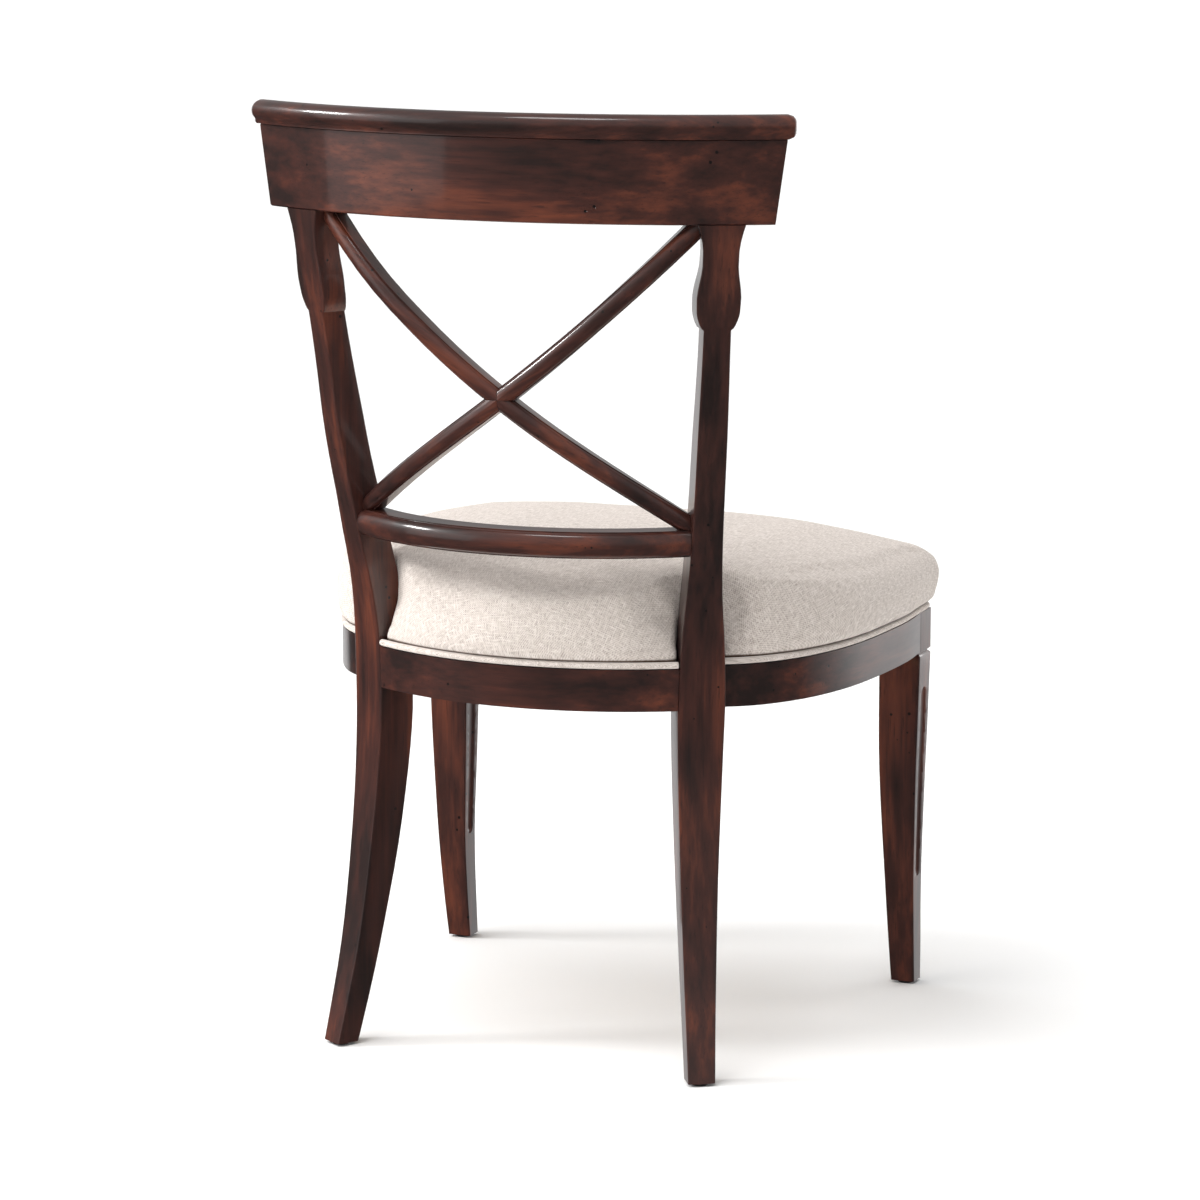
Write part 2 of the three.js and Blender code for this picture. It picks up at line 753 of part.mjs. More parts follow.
function crossSlat(side, others) {
  let slat = slatBody(side, 0);
  slat = slat.subtract(halvingCutter(side).intersect(slatBody(-side, GAP)));
  slat = slat.subtract(mitreCutter(side));
  for (const other of others) slat = slat.subtract(other);
  return slat;
}

const CREST_BOTTOM_HALF = legPoint(STILE_TOP, legWidth(STILE_TOP) / 2, 0).x + CREST_OVERHANG;
const CREST_TOP_HALF = CREST_BOTTOM_HALF + CREST_SPREAD;

// Crest rail: a bent board, thicker below, whose ends rise outward.
function crestSection(grow) {
  const ease = EDGE_RADIUS;
  const bottom = STILE_TOP - grow;
  const top = STILE_TOP + CREST_HEIGHT;
  const lean = CREST_LEAN;
  return [
    [-CREST_BOTTOM_THICKNESS - grow, bottom + ease],
    [lean - CREST_TOP_THICKNESS - grow, top - ease],
    [lean - CREST_TOP_THICKNESS - grow + ease, top],
    [lean + grow - ease, top],
    [lean + grow, top - ease],
    [grow, bottom + ease],
    [grow - ease, bottom],
    [-CREST_BOTTOM_THICKNESS - grow + ease, bottom],
  ];
}

function crestHalf(z) {
  const share = (z - STILE_TOP) / CREST_HEIGHT;
  return THREE.MathUtils.lerp(CREST_BOTTOM_HALF, CREST_TOP_HALF, share);
}

function crestBody(grow) {
  const steps = 26;
  const rings = [];
  for (let i = 0; i <= steps; i += 1) {
    const share = (2 * i) / steps - 1;
    rings.push(crestSection(grow).map(([depth, z]) => {
      const angle = share * Math.asin((crestHalf(z) + grow) / CREST_RADIUS);
      const r = CREST_RADIUS + depth;
      return new THREE.Vector3(r * Math.sin(angle), CREST_CENTRE + r * Math.cos(angle), z);
    }));
  }
  return loft(rings);
}

function crestTenon(side, grow) {
  const ahead = legDepth(STILE_TOP) / 2;
  const at = legPoint(STILE_TOP, 0, ahead);
  const height = 1.5 * CREST_TENON_HEIGHT + grow;
  const place = new THREE.Matrix4().makeRotationZ(-side * legTurn(STILE_TOP));
  const z = STILE_TOP + CREST_TENON_HEIGHT + grow - height / 2;
  place.setPosition(side * at.x, at.y, z);
  const width = CREST_TENON_WIDTH + 2 * grow;
  return placedBox(width, CREST_TENON_THICKNESS + 2 * grow, height, place);
}

// Crest roll: a round moulding with a thin foot on the board's top edge.
function rollSection(scale) {
  const list = [];
  const steps = 15;
  const foot = ROLL_RADIUS + FILLET_HEIGHT;
  const open = Math.PI / 5;
  for (let i = 0; i <= steps; i += 1) {
    const angle = open - Math.PI / 2 + ((2 * Math.PI - 2 * open) * i) / steps;
    list.push([ROLL_RADIUS * Math.cos(angle), ROLL_RADIUS * Math.sin(angle)]);
  }
  const half = ROLL_RADIUS * Math.sin(open);
  list.push([-half, -foot]);
  list.push([half, -foot]);
  return list.map(([x, y]) => [x * scale, y * scale]);
}

function crestRoll() {
  const centre = STILE_TOP + CREST_HEIGHT + ROLL_RADIUS + FILLET_HEIGHT;
  const radius = CREST_RADIUS + CREST_LEAN - ROLL_SET;
  const half = Math.asin((CREST_TOP_HALF + ROLL_OVERHANG) / radius);
  const round = ROLL_OVERHANG / radius;
  const ends = rollEndShares.map(([scale, inset]) => ({ angle: half - round * inset, scale }));
  const stops = ends.map((end) => ({ angle: -end.angle, scale: end.scale }));
  const steps = 28;
  const reach = half - round;
  for (let i = 1; i < steps; i += 1) {
    stops.push({ angle: reach * ((2 * i) / steps - 1), scale: 1 });
  }
  stops.push(...ends.reverse());
  const rings = stops.map(({ angle, scale }) => rollSection(scale).map(([depth, rise]) => {
    const r = radius + depth;
    const x = r * Math.sin(angle);
    return new THREE.Vector3(x, CREST_CENTRE + r * Math.cos(angle), centre + rise);
  }));
  return loft(rings);
}

// Seat board on four corner braces
function seatBoard() {
  const outline = insideOutline(RAIL_THICKNESS + SEAT_CLEARANCE);
  let board = extruded(outline, SEAT_TOP - BOARD_THICKNESS, SEAT_TOP);
  for (const side of [1, -1]) {
    board = board.subtract(rearLegSolid(side, SEAT_CLEARANCE));
    board = board.subtract(frontLegSolid(side, SEAT_CLEARANCE));
  }
  return board;
}

function braceBar(side, front) {
  const top = SEAT_TOP - BOARD_THICKNESS;
  const z = top - BRACE_HEIGHT / 2;
  const seat = RAIL_TENON_Z;
  const rear = legPoint(seat, 0, legDepth(seat));
  const corner = new THREE.Vector2(FRONT_LEG_OUT - BLOCK_WIDTH, BLOCK_DEPTH - FRONT_LEG_AHEAD);
  const at = front ? corner : rear;
  const turn = front ? Math.PI / 4 : -STILE_TURN;
  const place = new THREE.Matrix4().makeTranslation(side * at.x, at.y, z);
  place.multiply(new THREE.Matrix4().makeRotationZ(side * turn));
  const shift = front ? BRACE_THICKNESS / 4 : -BRACE_THICKNESS / 4;
  place.multiply(new THREE.Matrix4().makeTranslation(0, shift, 0));
  return placedBox(2 * BRACE_HALF_LENGTH, 1.5 * BRACE_THICKNESS, BRACE_HEIGHT, place);
}

function cornerBrace(side, front) {
  const inside = extruded(insideOutline(RAIL_THICKNESS + GAP), RAIL_BOTTOM, SEAT_TOP);
  const leg = front ? frontLegSolid(side, GAP) : rearLegSolid(side, GAP);
  return braceBar(side, front).intersect(inside).subtract(leg);
}

// Upholstery: the cushion follows the seat line and is notched at the rear legs.
// The front and side edge of the seat, from its middle to the rear leg.
function frontEdge() {
  const side = sideLine(15);
  const radius = BLOCK_WIDTH / 4;
  const front = -FRONT_LEG_AHEAD;
  const round = [];
  for (let i = 0; i <= 3; i += 1) {
    const angle = (Math.PI / 2) * (i / 3 - 1);
    const x = FRONT_LEG_OUT - radius + radius * Math.cos(angle);
    round.push(new THREE.Vector2(x, front + radius + radius * Math.sin(angle)));
  }
  const nose = [];
  for (let i = 0; i < 8; i += 1) {
    nose.push(new THREE.Vector2(((FRONT_LEG_OUT - radius) * i) / 8, front));
  }
  return [...nose, ...round, ...side.slice(1)];
}

function cushionLine() {
  const outer = legPoint(SEAT_TOP, legWidth(SEAT_TOP) / 2, 0);
  const inner = legPoint(SEAT_TOP, -legWidth(SEAT_TOP) / 2, 0);
  const edge = [...frontEdge(), outer, outer.clone().lerp(inner, 0.5)];
  return [...edge, ...rearLine(14, 0, 0), ...mirrored(edge.slice(1))];
}

function outward(line, amount) {
  const count = line.length;
  return line.map((p, i) => {
    const before = line[(i - 1 + count) % count];
    const after = line[(i + 1) % count];
    const run = after.clone().sub(before).normalize();
    return new THREE.Vector2(p.x + run.y * amount, p.y - run.x * amount);
  });
}

// How free the cushion is of the rear legs, which hold it in within a reach.
function freedom(p, reach) {
  const leg = legPoint(SEAT_TOP, 0, 0);
  const away = Math.hypot(Math.abs(p.x) - leg.x, p.y - leg.y);
  return THREE.MathUtils.smoothstep(away, STILE_WIDTH / 2, STILE_WIDTH / 2 + reach);
}

function swollen(line, swell, rise) {
  const out = outward(line, 1);
  return line.map((p, i) => {
    const bulge = freedom(p, BULGE_REACH) * swell * CUSHION_BULGE;
    const drawIn = (1 - freedom(p, DRAW_IN_REACH)) * rise * CUSHION_DRAW_IN;
    return p.clone().lerp(out[i], bulge - drawIn);
  });
}

function shoulderHeight(p) {
  return CUSHION_SHOULDER - (1 - freedom(p, BULGE_REACH)) * CUSHION_LEG_DROP;
}

function domeHeight(p) {
  const halfWidth = FRONT_LEG_OUT + CUSHION_BULGE;
  const halfDepth = (FRONT_LEG_AHEAD + SEAT_REAR) / 2 + CUSHION_BULGE;
  const middle = (SEAT_REAR - FRONT_LEG_AHEAD) / 2;
  const u = Math.min(Math.abs(p.x) / halfWidth, 1);
  const v = Math.min(Math.abs(p.y - middle) / halfDepth, 1);
  const swell = (1 - u ** DOME_POWER) * (1 - v ** DOME_POWER);
  return THREE.MathUtils.lerp(shoulderHeight(p), CUSHION_CROWN, swell);
}

function ringAt(line, height) {
  return line.map((p) => new THREE.Vector3(p.x, p.y, SEAT_TOP + height));
}

function cushionBody() {
  const line = cushionLine();
  const tuck = 2 * WELT_RADIUS + GAP;
  const rings = [
    ringAt(outward(line, -tuck), GAP),
    ringAt(outward(line, -tuck), tuck + GAP),
    ringAt(outward(line, 0), tuck + 2 * GAP),
  ];
  for (const [rise, swell] of cushionSideShares) {
    const ring = swollen(line, swell, rise);
    rings.push(ring.map((p) => new THREE.Vector3(p.x, p.y, SEAT_TOP + rise * shoulderHeight(p))));
  }
  const shoulder = swollen(line, cushionSideShares.at(-1)[1], 1);
  const middle = new THREE.Vector2(0, (SEAT_REAR - FRONT_LEG_AHEAD) / 2);
  for (const share of cushionTopShares) {
    const plan = shoulder.map((p) => p.clone().sub(middle).multiplyScalar(share).add(middle));
    rings.push(plan.map((p) => new THREE.Vector3(p.x, p.y, SEAT_TOP + domeHeight(p))));
  }
  return loft(rings);
}

function cushion() {
  let body = cushionBody();
  const reach = { ahead: 0, behind: STILE_DEPTH };
  for (const side of [1, -1]) body = body.subtract(rearLegSolid(side, SEAT_CLEARANCE, reach));
  return body;
}

// Welt: a covered cord along the foot of the cushion.
function weltTube(plan) {
  const z = SEAT_TOP + WELT_RADIUS + GAP;
  const points = plan.map((p) => new THREE.Vector3(p.x, p.y, z));
  const path = new THREE.CatmullRomCurve3(points, false, "centripetal");
  const ring = new THREE.Shape();
  ring.absarc(0, 0, WELT_RADIUS, 0, 2 * Math.PI, false);
  const length = path.getLength();
  const steps = Math.round(length / (4 * WELT_RADIUS));
  const settings = { steps, extrudePath: path, curveSegments: 4, bevelEnabled: false };
  return toSolid(new THREE.ExtrudeGeometry(ring, settings));
}

// The cord runs on inside the rear legs, which trim its ends.
function frontWelt() {
  const edge = outward(cushionLine(), -WELT_RADIUS / 2).slice(0, frontEdge().length);
  const [prior, end] = edge.slice(-2);
  const run = end.clone().sub(prior).normalize();
  edge.push(end.clone().addScaledVector(run, STILE_WIDTH / 3));
  const plan = [...mirrored(edge.slice(1)), ...edge];
  return trimmedByLegs(weltTube(plan));
}

function rearWelt() {
  return trimmedByLegs(weltTube(rearLine(16, WELT_RADIUS / 2, 0)));
}

function trimmedByLegs(solid) {
  return solid.subtract(trimSlab(1)).subtract(trimSlab(-1));
}

// Glides under the feet
function glide(at) {
  const geometry = new THREE.CylinderGeometry(GLIDE_RADIUS, GLIDE_RADIUS, GLIDE_HEIGHT, 24);
  geometry.rotateX(Math.PI / 2);
  geometry.translate(at.x, at.y, GLIDE_HEIGHT / 2);
  return toSolid(geometry);
}

// Assembly
const MATERIALS = {
  wood: new THREE.MeshStandardMaterial({ color: COLORS.wood, roughness: 0.35, metalness: 0 }),
  hidden: new THREE.MeshStandardMaterial({ color: COLORS.hidden, roughness: 0.8, metalness: 0 }),
  cloth: new THREE.MeshStandardMaterial({ color: COLORS.cloth, roughness: 0.95, metalness: 0 }),
  glide: new THREE.MeshStandardMaterial({ color: COLORS.glide, roughness: 0.6, metalness: 0 }),
};

function toMesh(name, solid, material) {
  const mesh = solid.getMesh();
  const geometry = new THREE.BufferGeometry();
  geometry.setAttribute("position", new THREE.BufferAttribute(mesh.vertProperties, 3));
  geometry.setIndex(new THREE.BufferAttribute(mesh.triVerts, 1));
  const smooth = toCreasedNormals(geometry, Math.PI / 6);
  const result = new THREE.Mesh(smooth, MATERIALS[material].clone());
  result.name = name;
  return result;
}

const group = new THREE.Group();
const SIDES = [
  { side: 1, name: "left" },
  { side: -1, name: "right" },
];

function put(name, solid, material) {
  group.add(toMesh(name, solid, material));
}

for (const { side, name } of SIDES) {
  let rear = rearLegSolid(side, 0).add(crestTenon(side, 0));
  rear = rear.subtract(sideTenons(side, GAP)[1]).subtract(rearTenon(side, GAP));
  rear = rear.subtract(backRailTenon(side, GAP));
  put(`rear_leg_${name}`, rear, "wood");
  let front = frontLeg(side).subtract(sideTenons(side, GAP)[0]);
  front = front.subtract(frontTenon(side, GAP));
  put(`front_leg_${name}`, front, "wood");
}

for (const { side, name } of SIDES) {
  let rail = sideRailBody(side).subtract(trimSlab(side)).subtract(frontLegSolid(side, GAP));
  for (const tongue of sideTenons(side, 0)) rail = rail.add(tongue);
  put(`side_seat_rail_${name}`, rail, "wood");
}

let rearRail = trimmedByLegs(rearRailBody());
let frontRail = frontRailBody().subtract(frontLegSolid(1, GAP)).subtract(frontLegSolid(-1, GAP));
let backRail = trimmedByLegs(backRailBody(0));
let crest = crestBody(0);
for (const { side } of SIDES) {
  rearRail = rearRail.add(rearTenon(side, 0));
  frontRail = frontRail.add(frontTenon(side, 0));
  backRail = backRail.add(backRailTenon(side, 0));
  crest = crest.subtract(crestTenon(side, GAP));
}
put("rear_seat_rail", rearRail, "wood");
put("front_seat_rail", frontRail, "wood");
put("lower_back_rail", backRail, "wood");
put("crest_rail", crest, "wood");
put("crest_roll", crestRoll(), "wood");

// Everything above the underside of the crest, which trims the slats' tops.
function aboveStiles() {
  const width = 2 * CREST_TOP_HALF;
  const place = new THREE.Matrix4();
  place.setPosition(0, CREST_CENTRE + CREST_RADIUS / 2, STILE_TOP - GAP + CREST_HEIGHT / 2);
  return placedBox(width, CREST_RADIUS + CREST_HEIGHT, CREST_HEIGHT, place);
}

const slatNeighbours = [trimSlab(1), trimSlab(-1), aboveStiles(), backRailBody(GAP)];
for (const { side, name } of SIDES) {
  put(`cross_slat_${name}`, crossSlat(side, slatNeighbours), "wood");
}

put("seat_board", seatBoard(), "hidden");
for (const { side, name } of SIDES) {
  put(`corner_brace_front_${name}`, cornerBrace(side, true), "hidden");
  put(`corner_brace_rear_${name}`, cornerBrace(side, false), "hidden");
}

put("seat_cushion", cushion(), "cloth");
put("seat_welt_front", frontWelt(), "cloth");
put("seat_welt_rear", rearWelt(), "cloth");

for (const { side, name } of SIDES) {
  const rear = legPoint(0, 0, legDepth(0) / 2);
  const front = frontLegBox(0);
  put(`glide_rear_${name}`, glide({ x: side * rear.x, y: rear.y }), "glide");
  put(`glide_front_${name}`, glide({ x: side * front.x, y: front.y }), "glide");
}

// The middle of the outline stands over the origin, on the floor.
const outline = new THREE.Box3().setFromObject(group);
const middle = outline.getCenter(new THREE.Vector3());
for (const mesh of group.children) mesh.geometry.translate(0, -middle.y, 0);

export default group;
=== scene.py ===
import math

import bpy
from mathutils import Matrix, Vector, noise


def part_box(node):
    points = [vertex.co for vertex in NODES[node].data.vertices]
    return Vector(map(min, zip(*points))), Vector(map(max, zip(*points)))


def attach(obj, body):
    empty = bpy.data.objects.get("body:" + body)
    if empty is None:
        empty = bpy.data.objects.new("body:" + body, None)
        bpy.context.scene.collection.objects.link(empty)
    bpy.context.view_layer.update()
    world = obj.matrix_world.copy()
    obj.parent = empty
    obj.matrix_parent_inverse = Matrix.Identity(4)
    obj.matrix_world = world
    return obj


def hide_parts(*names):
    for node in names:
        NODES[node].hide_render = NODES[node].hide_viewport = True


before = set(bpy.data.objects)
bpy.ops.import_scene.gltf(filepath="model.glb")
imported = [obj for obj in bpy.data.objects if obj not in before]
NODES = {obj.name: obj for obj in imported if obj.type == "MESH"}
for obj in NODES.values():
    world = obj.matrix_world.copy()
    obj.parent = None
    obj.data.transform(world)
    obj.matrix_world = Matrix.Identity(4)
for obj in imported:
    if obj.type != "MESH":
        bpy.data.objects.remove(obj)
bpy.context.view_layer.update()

SCENE = bpy.context.scene

# Camera, in metres and degrees, with lens and sensor in millimetres
CAMERA_PLACE = Vector((-1.72847, 4.18624, 1.25041))
CAMERA_YAW = 22.3119
CAMERA_PITCH = 10.1834
CAMERA_LENS = 135.69
CAMERA_SENSOR = 36.0

# Stage
FLOOR_REACH = 90.0
FLOOR_COLOR = (0.90, 0.90, 0.895)
FLOOR_ROUGHNESS = 0.75
FLOOR_SPECULAR = 0.1
BACKDROP_SIDES = 64
WHITE = (1.0, 1.0, 1.0)
BLACK = (0.0, 0.0, 0.0)

# Pale sides of the studio: direction, where the fade starts and ends, strength
PALE_SIDES = [
    ((-0.38, -0.92, 0.0), 0.6, 0.95, 0.75),
    ((0.67, -0.74, -0.05), 0.93, 0.985, 0.85),
]

# Sky: heights where its fade starts and ends, strengths of ground and sky
SKY_FADE = (-0.16, 0.3, 0.06, 0.4)

# Sun: strength, turn and softness in degrees
SUN_STRENGTH = 2.9
SUN_TURN = (-20.0, 16.0, 0.0)
SUN_SOFTNESS = 75.0

# Lights: name, place, size, power, and whether they show in reflections
LIGHT_AIM = Vector((0.0, 0.0, 0.5))
LIGHTS = [
    ("high_left", (3.3, 1.3, 2.5), (0.8, 0.4), 62.0, True),
    ("overhead", (0.3, 0.9, 2.8), (0.7, 0.35), 7.0, True),
    ("left_wall", (3.0, 2.6, 1.2), (2.4, 2.4), 12.0, True),
    ("left_fill", (3.0, 2.4, 1.2), (2.4, 2.4), 48.0, False),
    ("right_wall", (-2.0, -2.6, 0.7), (1.6, 1.6), 22.0, True),
]

# Shading of the CAD nodes, in metres and degrees
JOIN_DISTANCE = 0.00001
SHARP_ANGLE = 50.0

# Cloth of the seat cover
SEAT_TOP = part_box("seat_board")[1].z
VOXEL = 0.0055
SMOOTHING_SHARE = 0.5
COVER_SMOOTHING = 6
COVER_SHRINK = 0.001
COVER_SWELL = 0.003
COVER_SINK = 0.0006
PRESSURE = 4.0
CLOTH_QUALITY = 6
CLOTH_STIFFNESS = 25.0
CLOTH_BENDING = 2.0
SIMULATED_FRAMES = 14

# Where the cover is held
HELD_FOOT = 0.012
HELD_AT_LEGS = 0.010
HELD_FULLY_BELOW = 0.02
FAR_FROM_LEG = 0.06

# Unevenness of the cover, and the folds that fan out from the rear legs
UNEVENNESS = 0.0006
UNEVEN_SIZE = 0.055
FOLDS = 7.0
FOLD_START = 0.9
FOLD_NEAR = 0.022
FOLD_FAR = 0.085
FOLD_HEIGHT = 0.0022
POST_BAND = 0.03
POST_RISE = 0.028

# Cords of the piped edge
WELT_VOXEL = 0.0009
WELT_SMOOTHING = 4

# Weave, and the band of painted shadow just above the piped edge, in metres
THREAD = 0.0014
WEAVE_DEPTH = 0.0004
CORD_WEAVE_DEPTH = 0.0003
WEAVE_DROP_FROM = 0.100
SEAM_SHADOW_FROM = 0.0083
SEAM_SHADOW_TO = 0.0100

# Screws in the corner braces
SCREW_HEAD = 0.0045
SCREW_RISE = 0.0018
SCREW_SLOT = 0.0012
SCREW_DEPTH = 0.0010
SCREW_CROSS_SHARE = 0.62
SCREW_SPREAD = 0.024
SCREW_RINGS = 12
SCREW_SPOKES = 48

# Ways of the grain, which runs along the X of the turned coordinates
CROSSWISE = (0.0, 0.0, 0.0)
LENGTHWISE = (0.0, 0.0, math.radians(90.0))
UPRIGHT = (0.0, math.radians(90.0), 0.0)
RISING = (0.0, math.radians(30.0), 0.0)
FALLING = (0.0, math.radians(-30.0), 0.0)
SLANTING = (0.0, 0.0, math.radians(45.0))
SLANTING_BACK = (0.0, 0.0, math.radians(-45.0))
MAHOGANY_TURNS = {
    "rear_leg": UPRIGHT,
    "front_leg": UPRIGHT,
    "side_seat_rail": LENGTHWISE,
    "rear_seat_rail": CROSSWISE,
    "front_seat_rail": CROSSWISE,
    "lower_back_rail": CROSSWISE,
    "crest_rail": CROSSWISE,
    "crest_roll": CROSSWISE,
    "cross_slat_left": RISING,
    "cross_slat_right": FALLING,
}
PALE_TURNS = {
    "seat_board": CROSSWISE,
    "corner_brace_front_left": SLANTING,
    "corner_brace_front_right": SLANTING_BACK,
    "corner_brace_rear_left": SLANTING_BACK,
    "corner_brace_rear_right": SLANTING,
}

# Woods: colours, roughness, gloss, wear, and the step between two boards' coordinates
MAHOGANY = {
    "dark": (0.018, 0.0080, 0.0068),
    "middle": (0.050, 0.0155, 0.0112),
    "red": (0.150, 0.038, 0.0180),
    "roughness": 0.31,
    "specular": 0.4,
    "wear": 0.40,
    "step": (0.37, 0.61, 0.23),
}
PALE_WOOD = {
    "dark": (0.30, 0.18, 0.09),
    "middle": (0.47, 0.31, 0.17),
    "red": (0.58, 0.42, 0.25),
    "roughness": 0.72,
    "specular": 0.3,
    "wear": 0.15,
    "step": (0.53, 0.29, 0.41),
}
LACQUER = 0.75
LACQUER_ROUGHNESS = 0.08
DARK_ROUGHER = 0.06
RED_SMOOTHER = 0.04
REDDEST = 0.9
TONE_STOPS = (0.02, 0.36, 0.78)

# Figure of the wood: scale, detail, roughness and stretch of a noise, and how it fades
PATCHES = (11.0, 3.0, 0.6, (0.3, 1.0, 1.0)), (0.34, 0.68, 0.02, 0.54)
BANDS = (42.0, 3.0, 0.55, (0.14, 1.0, 1.0)), (0.3, 0.7, -0.18, 0.26)
STREAKS = (210.0, 4.0, 0.6, (0.04, 1.0, 1.0)), (0.3, 0.7, -0.1, 0.14)
PORES = (620.0, 2.0, 0.5, (0.05, 1.0, 1.0)), (0.60, 0.70, 0.0, 0.5)

# Relief and small dents of the wood
WAVES = (30.0, 2.0, 0.5, (0.5, 1.0, 1.0))
WOOD_RELIEF = 0.0005
PORE_RELIEF_SHARE = 0.14
PIT_CELLS = 60.0
PIT_CHANCES = (0.75, 0.95)
PIT_SIZE_SHARE = 0.10
PIT_COLOR_SHARE = 0.35

# Linen: colours and sheen, and the uneven places of the yarns of both ways
LINEN = {
    # dark end of the yarn colours: partly painted shade in the furrows between yarns, partly the
    # yarns' own darker tone
    "shade": (0.25, 0.205, 0.178),
    "thread": (0.575, 0.508, 0.460),
    # pale end of the yarn colours: partly painted light on the tops of the yarns, partly the yarns'
    # own paler tone
    "light": (0.78, 0.725, 0.680),
    # colour of the painted shadow in the crevice between the cover and its piped edge
    "painted_seam_shadow": (0.085, 0.055, 0.040),
    "roughness": 0.92,
    "specular": 0.18,
    "sheen": 0.15,
    "sheen_roughness": 0.55,
}
WARP_SLUBS = (700.0, 2.0, 0.5, (0.14, 1.0, 1.0))
WEFT_SLUBS = (700.0, 2.0, 0.5, (1.0, 0.14, 1.0))
SLUB_FADE = (0.42, 0.72, 0.0, 0.45)
SLUB_RELIEF_SHARE = 0.5
# how much the weave darkens the colour between yarns and lightens it on their tops: painted shade and
# painted light
WEAVE_SHADE_SHARE = 0.6
YARN_STOPS = (0.1, 0.45, 0.9)

# Nylon of the glides and zinc of the screws, each with a noise of fine marks
NYLON = {
    "color": (0.02, 0.018, 0.016),
    "roughness": 0.5,
    "metallic": 0.0,
    "marks": (420.0, 4.0, 0.6),
    "mark_colors": [(0.35, (0.012, 0.011, 0.010)), (0.75, (0.045, 0.040, 0.036))],
    "mark_roughness": (0.3, 0.7, 0.42, 0.65),
    "relief": 0.0002,
}
ZINC = {
    "color": (0.55, 0.52, 0.46),
    "roughness": 0.35,
    "metallic": 1.0,
    "marks": (900.0, 3.0, 0.55),
    "mark_colors": [(0.3, (0.42, 0.39, 0.33)), (0.7, (0.68, 0.65, 0.58))],
    "mark_roughness": (0.3, 0.7, 0.25, 0.5),
    "relief": 0.0001,
}


# Node graphs
def add(tree, kind, inputs=None, **settings):
    made = tree.nodes.new(kind)
    for key, value in settings.items():
        setattr(made, key, value)
    for key, value in (inputs or {}).items():
        if isinstance(value, bpy.types.NodeSocket):
            tree.links.new(value, made.inputs[key])
        else:
            made.inputs[key].default_value = value
    return made


def math_node(tree, operation, first, second=0.0):
    return add(tree, "ShaderNodeMath", {0: first, 1: second}, operation=operation).outputs[0]


def vector_node(tree, operation, inputs, output="Vector"):
    return add(tree, "ShaderNodeVectorMath", inputs, operation=operation).outputs[output]


def split(tree, vector):
    return add(tree, "ShaderNodeSeparateXYZ", {0: vector}).outputs


def joined(tree, x, y):
    return add(tree, "ShaderNodeCombineXYZ", {0: x, 1: y}).outputs[0]


def own_place(tree):
    return add(tree, "ShaderNodeTexCoord").outputs["Object"]


def ramp(tree, value, stops):
    made = add(tree, "ShaderNodeValToRGB", {"Fac": value})
    elements = made.color_ramp.elements
    while len(elements) < len(stops):
        elements.new(0.5)
    for element, (position, color) in zip(elements, stops):
        element.position = position
        element.color = (*color, 1.0)
    return made.outputs["Color"]


def fade(tree, value, low, high, start=0.0, end=1.0):
    made = add(tree, "ShaderNodeMapRange", {
        "Value": value, "From Min": low, "From Max": high, "To Min": start, "To Max": end})
    return made.outputs["Result"]


def mix(tree, amount, first, second):
    made = add(tree, "ShaderNodeMix", data_type="RGBA")
    for name, value in (("Factor", amount), ("A", first), ("B", second)):
        socket = next(s for s in made.inputs if s.name == name and s.enabled)
        if isinstance(value, bpy.types.NodeSocket):
            tree.links.new(value, socket)
        else:
            socket.default_value = (*value, 1.0)
    return next(s for s in made.outputs if s.enabled)


def cloud(tree, vector, scale, detail, roughness, stretch=(1.0, 1.0, 1.0)):
    stretched = add(tree, "ShaderNodeMapping", {"Vector": vector, "Scale": stretch})
    made = add(tree, "ShaderNodeTexNoise", {
        "Vector": stretched.outputs[0], "Scale": scale, "Detail": detail, "Roughness": roughness})
    return made.outputs["Fac"]


def bump(tree, shader, height, distance):
    made = add(tree, "ShaderNodeBump", {"Height": height, "Distance": distance})
    tree.links.new(made.outputs[0], shader.inputs["Normal"])


# Materials and objects
def new_material(name, color, roughness):
    material = bpy.data.materials.new(name)
    material.use_nodes = True
    material.diffuse_color = (*color, 1.0)
    shader = material.node_tree.nodes["Principled BSDF"]
    shader.inputs["Base Color"].default_value = (*color, 1.0)
    shader.inputs["Roughness"].default_value = roughness
    return material, material.node_tree, shader


def use_material(thing, material):
    thing.data.materials.clear()
    thing.data.materials.append(material)


def new_object(name, data):
    made = bpy.data.objects.new(name, data)
    SCENE.collection.objects.link(made)
    return made


# Wood
def grain_space(tree, turn, offset):
    turned = add(tree, "ShaderNodeMapping", {
        "Vector": own_place(tree), "Rotation": turn, "Location": offset})
    return turned.outputs[0]


def figure(tree, space, shape, span):
    """One of the noises that make up the figure, faded."""
    return fade(tree, cloud(tree, space, *shape), *span)


def wood_tone(tree, space):
    """Broad soft patches, bands and streaks along the grain, from dark 0 to red 1."""
    broad = math_node(tree, "ADD", figure(tree, space, *PATCHES), figure(tree, space, *BANDS))
    return math_node(tree, "ADD", broad, figure(tree, space, *STREAKS))


def wood_pits(tree, space, wear):
    """Small dents and worm marks: dark dots of several sizes, more of them with more wear."""
    cells = add(tree, "ShaderNodeTexVoronoi", {"Vector": space, "Scale": PIT_CELLS})
    low, high = PIT_CHANCES
    size = fade(tree, cells.outputs["Color"], low - wear, high - wear / 2, 0.0, PIT_SIZE_SHARE)
    return math_node(tree, "LESS_THAN", cells.outputs["Distance"], size)


def wood_color(tree, wood, tone, pores, pits):
    color = ramp(tree, tone, list(zip(TONE_STOPS, (wood["dark"], wood["middle"], wood["red"]))))
    color = mix(tree, pores, color, wood["dark"])
    return mix(tree, pits, color, tuple(PIT_COLOR_SHARE * c for c in wood["dark"]))


def wood_height(tree, space, pores, pits):
    waves = cloud(tree, space, *WAVES)
    height = math_node(tree, "SUBTRACT", waves, math_node(tree, "MULTIPLY", pores, PORE_RELIEF_SHARE))
    return math_node(tree, "SUBTRACT", height, pits)


